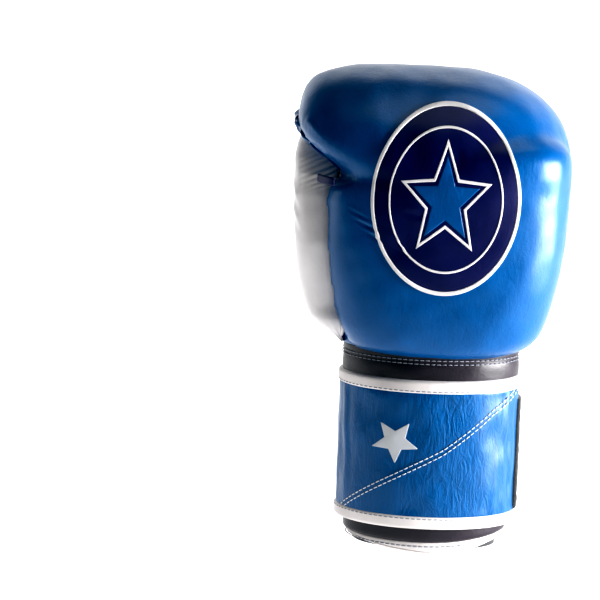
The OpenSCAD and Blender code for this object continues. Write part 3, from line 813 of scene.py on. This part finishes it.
def build_thumb():
    rows, columns = 108, 88
    k = np.concatenate([np.linspace(0, 0.7, 44), np.linspace(0.7, 1, 65)[1:]])
    a = np.linspace(0, 2 * math.pi, columns, endpoint=False)
    kk, aa = np.meshgrid(k, a, indexing="ij")
    body = lofted("thumb_body", thumb_point(kk, aa, -1.2), WHITE)
    soft = body.modifiers.new("soften", "SMOOTH")
    soft.factor, soft.iterations = 0.5, 5
    body = applied(body, "thumb_body", WHITE)
    points = coordinates(body)
    degrees = (np.degrees(aa) % 360).ravel()
    seam = np.minimum(np.abs((degrees - THUMB_SEAM[0] + 180) % 360 - 180),
                      np.abs((degrees - THUMB_SEAM[1] + 180) % 360 - 180)) < 3
    held = np.zeros(len(points))
    held[: rows * columns][seam] = 1
    held[points[:, 2] < 131] = 1
    inflate(body, held, 3.0, 3.2)
    points, normal = coordinates(body), vertex_normals(body)
    grid = slice(0, rows * columns)
    up = ((points[grid, 2] - THUMB_Z) / THUMB_H)
    pucker = np.zeros(len(points))
    to_seam = (degrees - THUMB_SEAM[1] + 180) % 360 - 180
    close = np.exp(-((np.minimum(0, to_seam + 4) / 42) ** 2)) * (to_seam < 12)
    tilted = points[grid, 2] - 0.16 * to_seam
    rib = np.abs(np.sin(math.pi * tilted / 3.1 + 0.8 * np.sin(tilted / 4.3))) ** 0.6
    pucker[grid] = (1.7 * close * smooth(0.70, 0.80, up) * (rib - 0.8)
                    + 0.8 * smooth(0.12, 0.0, up) * (np.abs(np.cos(9 * aa.ravel())) - 0.6))
    move = pucker + 0.35 * wave(points, 30, 11) + 0.15 * wave(points, 12, 12)
    rim_path = thumb_point(np.linspace(0.02, 0.93, 24), np.full(24, math.radians(14)), 0.0)
    move += ridge(points, rim_path, 1.8, 3.2, 0.12)
    inner_path = thumb_point(np.linspace(0.05, 0.9, 24), np.full(24, math.radians(27)), 0.0)
    move += ridge(points, inner_path, -1.7, 3.4, 0.15)
    for i in range(4):
        at = np.linspace(0.50 + 0.05 * i, 0.62 + 0.07 * i, 6)
        wrinkle = thumb_point(at, np.radians(np.linspace(165, 120 - 4 * i, 6)))
        move += ridge(points, wrinkle, (-0.9, 0.7)[i % 2], 2.0, 0.3)
    points = points + normal * move[:, None]
    bpy.data.objects.remove(body)
    grid_points = points[: rows * columns].reshape(rows, columns, 3)
    white = (degrees <= THUMB_SEAM[1]) | (degrees >= 360 + THUMB_SEAM[0])
    white = white.reshape(rows, columns)[0]
    order = np.argsort((np.degrees(a) - THUMB_SEAM[0]) % 360)
    outer_columns = [j for j in order if white[j]]
    inner_columns = [j for j in order if not white[j]]
    inner_columns = [outer_columns[-1], *inner_columns, outer_columns[0]]
    for name, cols, look, replaced in (
            ("thumb_pad", outer_columns, WHITE, ("thumb_leather", "thumb_foam")),
            ("thumb_inner", inner_columns, NAVY, ("thumb_inner_panel",))):
        part = grid_points[:, cols]
        piece = make(name, part, grid_faces(rows, len(cols)), look)
        thick = piece.modifiers.new("skin", "SOLIDIFY")
        thick.thickness, thick.offset = 1.3 * MM, -1
        fine = piece.modifiers.new("fine", "SUBSURF")
        fine.levels = fine.render_levels = 1
        piece = applied(piece, name, look)
        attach(piece, "thumb")
        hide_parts(*replaced)
    return grid_points, a


def build_thumb_trim(points, angles):
    k = (points.mean(axis=1)[:, 2] - THUMB_Z) / THUMB_H
    keep = (k > 0.02) & (k < 0.97)
    def column(degrees):
        return int(np.argmin(np.abs((np.degrees(angles) - degrees + 180) % 360 - 180)))

    for i, degrees in enumerate(THUMB_SEAM):
        j = column(degrees)
        line = points[keep, j]
        out = line - thumb_point(k[keep], np.full(keep.sum(), math.radians(degrees)), -12)
        out[:, 2] = 0
        out /= np.linalg.norm(out, axis=1, keepdims=True)
        piece = tube(f"thumb_piping_{i + 1}", line + out * 0.5, 1.15, BINDING)
        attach(piece, "thumb")
        if i == 0:
            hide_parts("thumb_rim_piping")
    thread = stitches("thumb_stitches", [points[keep, column(222)]], pitch=3.0, length=2.2,
                      radius=0.3)
    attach(thread, "thumb")


def build_web():
    def surface(u, v):
        return np.stack([lerp(-69.5, -59.5, u), lerp(-27.0, -39.0, u) - 1.5 * np.sin(math.pi * u),
                         lerp(217.5, 222.5, v) + 0.8 * (1 - u)], axis=-1)

    web = panel("thumb_web_strap", surface, (13, 4.5), 1.2, NAVY, edge=0.7, cells=(14, 8))
    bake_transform(web)
    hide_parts("thumb_web")


def cuff_surface(a0, a1, o, z0, z1):
    def surface(u, v):
        low = z0(u) if callable(z0) else z0
        high = z1(u) if callable(z1) else z1
        return cuff_point(lerp(a0, a1, u), o, lerp(low, high, v))
    return surface


def arc_length(a0, a1, o):
    p = cuff_point(np.linspace(a0, a1, 80), o, np.zeros(80))
    return float(np.linalg.norm(np.diff(p, axis=0), axis=1).sum())


def cuff_panel(name, a0, a1, o, z0, z1, thick, look, relief=None, edge=1.2, dense=1.0):
    long = arc_length(a0, a1, o)
    tall = (z1(0.5) if callable(z1) else z1) - (z0(0.5) if callable(z0) else z0)
    cells = (max(8, int(long / 2.2 * dense)), max(4, int(tall / 2.4 * dense)))
    out = -1.0 if a1 < a0 else 1.0
    return panel(name, cuff_surface(a0, a1, o, z0, z1), (long, tall), thick, look, edge, cells, relief, out)


def cuff_row(a0, a1, o, z, n=160):
    return cuff_point(np.linspace(a0, a1, n), o, np.full(n, z))


def worn(piece, body, *nodes):
    """Fixes piece to a body and hides the CAD nodes that it stands for."""
    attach(piece, body)
    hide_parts(*nodes)


def dimples(scale, height, seed):
    return lambda u, v, p: height * wave(p, scale, seed)


def build_cuff():
    cover = cuff_panel("cuff_leather", 94.5, 445.5, 0.2, lambda u: cover_foot(94.5 + 351 * u), BAND_TOP + 4,
                       COVER_O - 0.2, BLACK, dimples(26, 0.25, 21), edge=3.4)
    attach(cover, "hand")
    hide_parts("cuff_cover", "cuff_foam")
    band = cuff_panel("wrist_band_leather", 109, 431, COVER_O - 0.6, STRAP_Z[1] - 3, BAND_TOP + 3, 4.2,
                      BLACK, band_relief, edge=2.6)
    worn(band, "hand", "wrist_band")
    rows = [cuff_row(112, 428, COVER_O + 3.85, BAND_TOP - dz) for dz in (3.4, 5.6)]
    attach(stitches("band_stitches", rows, GREY_THREAD_PAINTED_SHADE, radius=0.3), "hand")
    rim = cuff_panel("rim_binding", 94.2, 445.8, COVER_O - 5.2, lambda u: rim_foot(94.2 + 351.6 * u),
                     lambda u: cover_foot(94.2 + 351.6 * u) + 1.5, 3.0, BINDING,
                     dimples(9, 0.12, 22), edge=1.8)
    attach(rim, "hand")
    under = panel("rim_binding_turn", rim_under, (arc_length(94, 446, 4), 9), 1.0, BINDING,
                  edge=0.9, cells=(150, 6))
    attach(under, "hand")
    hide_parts("cuff_rim_binding")
    a = np.linspace(96, 444, 160)
    row = cuff_point(a, COVER_O - 1.8, cover_foot(a) - 1.6)
    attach(stitches("rim_stitches", [row], GREY_THREAD_PAINTED_SHADE), "hand")
    edge = cuff_panel("loop_tape_edge", -14, 12, COVER_O - 0.3, 24, 93, 6.3, LOOP,
                      dimples(4, 0.25, 26), edge=2.0, dense=1.5)
    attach(edge, "hand")
    loop = cuff_panel("loop_tape_panel", -8, 71, COVER_O - 0.3, 24, 99, 1.6, LOOP,
                      dimples(4, 0.25, 23), edge=0.9, dense=1.5)
    worn(loop, "hand", "loop_panel")


def cover_foot(a):
    """How high the black cuff starts: lowest at the middle of the back and of the palm."""
    return 7.0 + 3.2 * np.cos(np.radians(a)) ** 2 * (np.cos(np.radians(a)) > 0) + 0.8 * np.cos(np.radians(a)) ** 2


def rim_foot(a):
    """How high the white rim starts: it hangs lowest just right of the middle of the back."""
    across = np.cos(np.radians(a)) * 47
    return table(across, [(-45, 6.5), (-37, 5.5), (-20, 3.2), (12, 0.4), (25, 2.8), (40, 7.0), (48, 9.0)])


def rim_under(u, v):
    a = lerp(94.2, 445.8, u)
    return cuff_point(a, lerp(-1.0, COVER_O - 2.6, v), rim_foot(a) + 0.5)


def band_relief(u, v, p):
    groove = -0.5 * np.exp(-(((p[..., 2] - (BAND_TOP - 4.5)) / 1.9) ** 2))
    return groove + 0.3 * wave(p, 18, 24)


def strap_relief(seed, wrinkles=()):
    """Soft dents in a strap, and vertical wrinkles at the given angles (degrees, height, width)."""
    def relief(u, v, p):
        angle = np.degrees(np.arctan2(p[..., 1] / WRIST[1], p[..., 0] / WRIST[0])) % 360
        move = 0.45 * wave(p, 24, seed) + 0.16 * wave(p, 9, seed + 1)
        for at, height, width in wrinkles:
            bend = at + 2.2 * np.sin(p[..., 2] / 17 + at)
            far = (angle - bend + 180) % 360 - 180
            reach = 0.55 + 0.45 * np.sin(p[..., 2] / 23 + at * 1.7)
            move += height * reach * np.exp(-((far / width) ** 2))
        return move
    return relief


ROOT_WRINKLES = [(318, 0.9, 2.4), (323, -0.8, 2.0), (328, 1.0, 2.2), (333, -0.9, 1.8), (338, 0.9, 2.2),
                 (344, -0.8, 2.2), (349, 0.7, 2.0), (206, 0.7, 3), (213, -0.6, 3), (192, 0.6, 3)]
WRAP_WRINKLES = [(134, 0.8, 2.0), (130, -0.9, 1.8), (126, 0.9, 2.0), (121, -0.7, 2.0), (60, -0.8, 3), (54, 0.8, 3.5)]


def bind(name, a0, a1, z0, z1, replaced, body=None):
    piece = cuff_panel(name, a0, a1, STRAP_O - 0.6, z0, z1, STRAP_T + 1.2, BINDING,
                       dimples(7, 0.14, 31), edge=2.0)
    if replaced:
        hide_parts(replaced)
    if body:
        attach(piece, body)
    return piece


def diagonal(shift):
    """Double row of stitching that crosses the strap's root from its lower left to its upper right."""
    a = np.linspace(200, 346, 110)
    z = shift + table(a, [(200, 21), (203, 22.5), (248.6, 45.8), (280, 61.9), (300, 75.5), (315, 85.4),
                          (343.6, 97.6)])
    p = cuff_point(a, STRAP_O + STRAP_T + 0.25, z)
    return p[(z > 25) & (z < 98.5)]


def build_strap_root():
    low, high = STRAP_Z[0] + BIND_W, STRAP_Z[1] - BIND_W
    backing = cuff_panel("strap_root_pad", STRAP_TURN + 1, ROOT_START, COVER_O - 0.4, STRAP_Z[0] + 1,
                         STRAP_Z[1] - 1, STRAP_O - COVER_O + 0.6, BLACK, edge=1.5)
    worn(backing, "hand", "strap_root_backing")
    root = cuff_panel("strap_root_leather", STRAP_TURN + 0.5, ROOT_START, STRAP_O - 0.4, low - 2, high + 2,
                      STRAP_T + 0.2, BLUE_STRAP, strap_relief(40, ROOT_WRINKLES), edge=1.6, dense=1.3)
    worn(root, "hand", "strap_root")
    bind("strap_root_binding_top", STRAP_TURN + 0.5, ROOT_START, high, STRAP_Z[1], "strap_root_top_binding", "hand")
    bind("strap_root_binding_bottom", STRAP_TURN + 0.5, ROOT_START, STRAP_Z[0], low,
         "strap_root_bottom_binding", "hand")
    o = STRAP_O + STRAP_T + 0.45
    rows = [cuff_row(STRAP_TURN + 2, ROOT_START - 2, o, z) for z in (high + 2.0, low - 2.0)]
    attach(stitches("strap_binding_stitches", rows, GREY_THREAD_PAINTED_SHADE), "hand")
    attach(stitches("strap_root_stitches", [diagonal(0.0), diagonal(3.0)]), "hand")
    tree = tree_of(root)
    mark = patch("strap_star", tree, None, star(5, 1.0, 0.45, 0.6), SILVER, 0.05, 0.25, 6, 160,
                 at=(-19.0, 69.0), size=(14.5, 13.5))
    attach(mark, "hand")


def build_strap_wrap():
    low, high = STRAP_Z[0] + BIND_W, STRAP_Z[1] - BIND_W
    turn = dict(start=tuple(cuff_point(147.0, 10.0, 60.0) * MM), end=tuple(cuff_point(133.0, 10.0, 60.0) * MM))
    bend = dict(start=tuple(cuff_point(84.0, 10.0, 60.0) * MM), end=tuple(cuff_point(70.0, 10.0, 60.0) * MM))
    stop = STRAP_STOP + 3
    o = STRAP_O + STRAP_T + 0.45
    for part, a0, a1, joint, bodies in (("near", STRAP_TURN + 4, WRAP_SEAM, turn, ("hand", "strap")),
                                        ("far", WRAP_SEAM, stop, bend, ("strap", "strap_tip"))):
        main = part == "near"
        pieces = [cuff_panel(f"strap_{part}_leather", a0, a1, STRAP_O - 0.4, low - 2, high + 2, STRAP_T + 0.25,
                             BLUE_STRAP, strap_relief(43, WRAP_WRINKLES), edge=1.2, dense=1.3)]
        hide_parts("strap_wrap" if main else "strap_end")
        pieces.append(bind(f"strap_{part}_binding_top", a0, a1, high, STRAP_Z[1],
                           "strap_wrap_top_binding" if main else "strap_end_binding"))
        pieces.append(bind(f"strap_{part}_binding_bottom", a0, a1, STRAP_Z[0], low,
                           "strap_wrap_bottom_binding" if main else None))
        pieces.append(cuff_panel(f"hook_tape_{part}", a0 - 7 if main else a0, a1 if main else a1 + 2, TRIM_O + 0.5,
                                 low + 1, high - 1, 1.2, HOOK, edge=0.6))
        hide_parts("hook_patch_middle" if main else "hook_patch_end")
        hook_edge = 138.0 if main else stop + 3
        rows = [cuff_row(a0, a1, o, z) for z in (high + 2.0, low - 2.0)]
        pieces.append(stitches(f"strap_{part}_binding_stitches", rows, GREY_THREAD_PAINTED_SHADE))
        rows = [cuff_row(hook_edge, a1 if main else a0, o - 0.3, z) for z in (high - 3.5, low + 3.5)]
        z = np.linspace(low + 3.5, high - 3.5, 60)
        rows.append(np.stack([*np.moveaxis(cuff_point(np.full(60, hook_edge), o - 0.25, z), -1, 0)], axis=1))
        pieces.append(stitches(f"strap_{part}_stitches", rows))
        for piece in pieces:
            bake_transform(piece)
    edge = bind("strap_tip_binding", STRAP_STOP + 4.5, STRAP_STOP - 1.5, STRAP_Z[0] + 3, STRAP_Z[1] - 3, None)
    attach(edge, "strap_tip")


def palm_surface(x0, x1, z0, z1, lift=0.0):
    def surface(u, v):
        z = lerp(z0, z1, v)
        left, right = table(z, x0), table(z, x1)
        x = lerp(left, right, u)
        return np.stack([x, palm_y(x, z) + lift, z], axis=-1)
    return surface


def shifted(edge, dx):
    return [(z, x + dx) for z, x in edge]


HEEL_EDGE = [(119, -46), (135, -46), (148, -42), (168, -34)]
SLOT_THUMB = [(105, -4), (120, -4.2), (138, -6), (152, -9), (161, -12), (171, -17), (180, -22)]
SLOT_FINGER = [(105, 4), (138, 6), (180, 7)]
SIDE_EDGE = [(119, 48), (135, 56), (148, 62), (180, 69)]
STRIP_W = 13.0


def palm_panel(name, x0, x1, z0, z1, thick, look, lift=0.0, relief=None, edge=1.0, cells=(22, 30)):
    wide = abs(table((z0 + z1) / 2, x1) - table((z0 + z1) / 2, x0))
    piece = panel(name, palm_surface(x0, x1, z0, z1, lift), (max(2.0, wide), z1 - z0), thick, look,
                  edge, cells, relief, -1.0)
    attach(piece, "hand")
    return piece


def build_palm():
    top = 178
    beside = shifted(SLOT_THUMB, -STRIP_W + 1.5)
    heel = palm_panel("palm_heel", HEEL_EDGE, beside, 116, 157.5, 1.6, BLACK, -1.2, dimples(16, 0.5, 51))
    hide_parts("palm_leather_thumb_side", "palm_foam_thumb_side")
    far = palm_panel("palm_leather", shifted(SLOT_FINGER, STRIP_W - 1.5), SIDE_EDGE, 116, top, 1.6, BLUE, -1.2,
                     dimples(20, 0.5, 52), cells=(34, 34))
    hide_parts("palm_leather_finger_side", "palm_foam_finger_side")
    vent = palm_panel("air_mesh_inset", [(156, -42), (178, -29)], beside, 157.5, 175, 0.9, MESH, -0.6)
    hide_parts("palm_mesh")
    tape = palm_panel("mesh_tape_strip", [(155, -43), (163, -41)], beside, 156.5, 161, 1.2, BLACK, 0.2, edge=0.7,
                      cells=(20, 6))
    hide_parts("mesh_tape")
    tongue = palm_panel("slot_gusset", shifted(SLOT_THUMB, -3), shifted(SLOT_FINGER, 4), 112, top, 1.0, BLACK, -4.5,
                        dimples(8, 0.4, 53))
    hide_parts("slot_tongue")
    rows = []
    for side, edge, way in (("thumb", SLOT_THUMB, -1), ("finger", SLOT_FINGER, 1)):
        near, wide = shifted(edge, way * 2), shifted(edge, way * STRIP_W)
        x0, x1 = (wide, near) if way < 0 else (near, wide)
        upper = palm_panel(f"slot_strip_{side}_upper", x0, x1, 112, top, 1.5, BLUE, 0.2,
                           dimples(12, 0.2, 54), cells=(14, 36))
        a_near, a_far = 90 - way * 5.6, 90 - way * 18
        lower = cuff_panel(f"slot_strip_{side}_lower", a_far, a_near, COVER_O - 0.2, 4.5, 117, 1.3, BLUE,
                           dimples(12, 0.15, 55), edge=0.9)
        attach(lower, "hand")
        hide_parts(f"slot_strip_{side}_side")
        z = np.linspace(113, top, 50)
        line = np.stack([table(z, edge) + way * 0.9, palm_y(table(z, edge), z) + 1.0, z], axis=1)
        below = cuff_point(np.full(50, 90 - way * 4.6), COVER_O + 0.9, np.linspace(3, 113, 50))
        cord = tube(f"slot_piping_{side}", np.concatenate([below[:-1], line]), 1.7, BINDING)
        worn(cord, "hand", f"slot_piping_{side}_side")
        for inset in (4.0, 6.2) if way < 0 else (4.6,):
            x = table(z, edge) + way * inset
            rows.append(np.stack([x, palm_y(x, z) + 1.95, z], axis=1))
            rows.append(cuff_point(np.full(30, 90 - way * (5.6 + inset)), COVER_O + 1.3, np.linspace(5, 16, 30)))
    z = np.full(40, 158.8)
    x = np.linspace(-38, -25, 40)
    rows.append(np.stack([x, palm_y(x, z) + 1.6, z], axis=1))
    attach(stitches("palm_stitches", rows), "hand")


def build_base_strip():
    def surface(u, v):
        a = np.radians(lerp(118.0, 216.0, u))
        grow = 50.5 + 3.5 * v
        z = lerp(122.0, 136.0, v) + 17 * smooth(0.45, 0.0, u)
        return np.stack([grow * np.cos(a) - 1.5, (38.5 + 3 * v) * np.sin(a), z], axis=-1)

    strip = panel("thumb_base_leather", surface, (95, 15), 1.8, BLUE, edge=1.2, cells=(44, 10),
                  relief=dimples(14, 0.3, 61))
    worn(strip, "hand", "thumb_base_strip")


def finish_inner_nodes():
    """Gives cloth to the linings and the grip bar, which keep their CAD shape."""
    for name in ("hand_liner", "cuff_liner", "finger_liner", "grip_bar", "grip_bar_cover", "thumb_liner"):
        data = bpy.data.objects[name].data
        data.materials.clear()
        data.materials.append(LINING[1])


# ---------------------------------------------------------------- stage
def area_light(name, place, aim, size, power):
    data = bpy.data.lights.new(name, "AREA")
    data.shape, data.size, data.size_y = "RECTANGLE", size[0], size[1]
    data.energy = power
    obj = bpy.data.objects.new(name, data)
    obj.location = place
    obj.rotation_euler = (Vector(aim) - Vector(place)).to_track_quat("-Z", "Y").to_euler()
    bpy.context.scene.collection.objects.link(obj)


VIEW_DISTANCE = 1.9
VIEW_ELEVATION = 8.7
VIEW_ROLL = 2.0
FRAME_WIDTH = 0.3564
LOOK_AT = (-0.079, 0.0, 0.1442)


def build_stage():
    scene = bpy.context.scene
    scene.view_settings.view_transform = "Standard"
    scene.view_settings.look = "High Contrast"
    scene.view_settings.use_curve_mapping = True
    scene.view_settings.curve_mapping.black_level = (0.016, 0.011, 0.011)
    scene.view_settings.curve_mapping.update()
    data = bpy.data.cameras.new("camera")
    data.sensor_width = 36.0
    data.lens = 36.0 * VIEW_DISTANCE / FRAME_WIDTH
    camera = bpy.data.objects.new("camera", data)
    up = math.radians(VIEW_ELEVATION)
    camera.location = (0.0, -VIEW_DISTANCE * math.cos(up), LOOK_AT[2] + VIEW_DISTANCE * math.sin(up))
    turn = (Vector(LOOK_AT) - camera.location).to_track_quat("-Z", "Y").to_matrix()
    camera.rotation_euler = (turn @ Matrix.Rotation(math.radians(VIEW_ROLL), 3, "Z")).to_euler()
    scene.collection.objects.link(camera)
    scene.camera = camera
    world = bpy.data.worlds.new("studio")
    world.use_nodes = True
    world.node_tree.nodes["Background"].inputs["Color"].default_value = (1, 1, 1, 1)
    world.node_tree.nodes["Background"].inputs["Strength"].default_value = 0.02
    scene.world = world
    area_light("right", (1.3, -0.24, 0.17), (0.02, 0, 0.15), (0.95, 0.6), 66)
    area_light("top", (0.15, -0.1, 1.5), (0, 0, 0.2), (1.2, 0.7), 4.2)
    area_light("left", (-1.3, 0.15, 0.35), (0, 0, 0.15), (0.5, 0.9), 2.0)
    sweep = [(-0.9, 0.0), (1.5, 0.0), (2.2, 0.12), (2.6, 0.5), (2.75, 1.1), (2.8, 3.2)]
    points = [(x, y, z - 0.0005) for x in (-3.2, 3.2) for y, z in [(-3.0, 0.0), *sweep]]
    n = len(points) // 2
    mesh = bpy.data.meshes.new("backdrop")
    mesh.from_pydata(points, [], [(i, i + n, i + n + 1, i + 1) for i in range(n - 1)])
    floor = bpy.data.objects.new("backdrop", mesh)
    mesh.polygons.foreach_set("use_smooth", [True] * len(mesh.polygons))
    scene.collection.objects.link(floor)
    paper = bpy.data.materials.new("paper")
    paper.use_nodes = True
    shader = paper.node_tree.nodes["Principled BSDF"]
    shader.inputs["Base Color"].default_value = (0.6, 0.6, 0.6, 1)
    shader.inputs["Roughness"].default_value = 0.9
    shader.inputs["Emission Color"].default_value = (1, 1, 1, 1)
    place = node(paper.node_tree, "ShaderNodeTexCoord")
    split = node(paper.node_tree, "ShaderNodeSeparateXYZ")
    glow = node(paper.node_tree, "ShaderNodeMapRange", **{
        "From Min": -0.6, "From Max": -0.15, "To Min": 0.0, "To Max": 0.85})
    paper.node_tree.links.new(place.outputs["Object"], split.inputs["Vector"])
    paper.node_tree.links.new(split.outputs["Y"], glow.inputs["Value"])
    paper.node_tree.links.new(glow.outputs["Result"], shader.inputs["Emission Strength"])
    floor.data.materials.append(paper)


build_stage()
surface_tree = build_mitt()
build_badge(surface_tree)
build_gather()
thumb_grid, thumb_angles = build_thumb()
build_thumb_trim(thumb_grid, thumb_angles)
build_web()
build_base_strip()
build_palm()
build_cuff()
build_strap_root()
build_strap_wrap()
finish_inner_nodes()
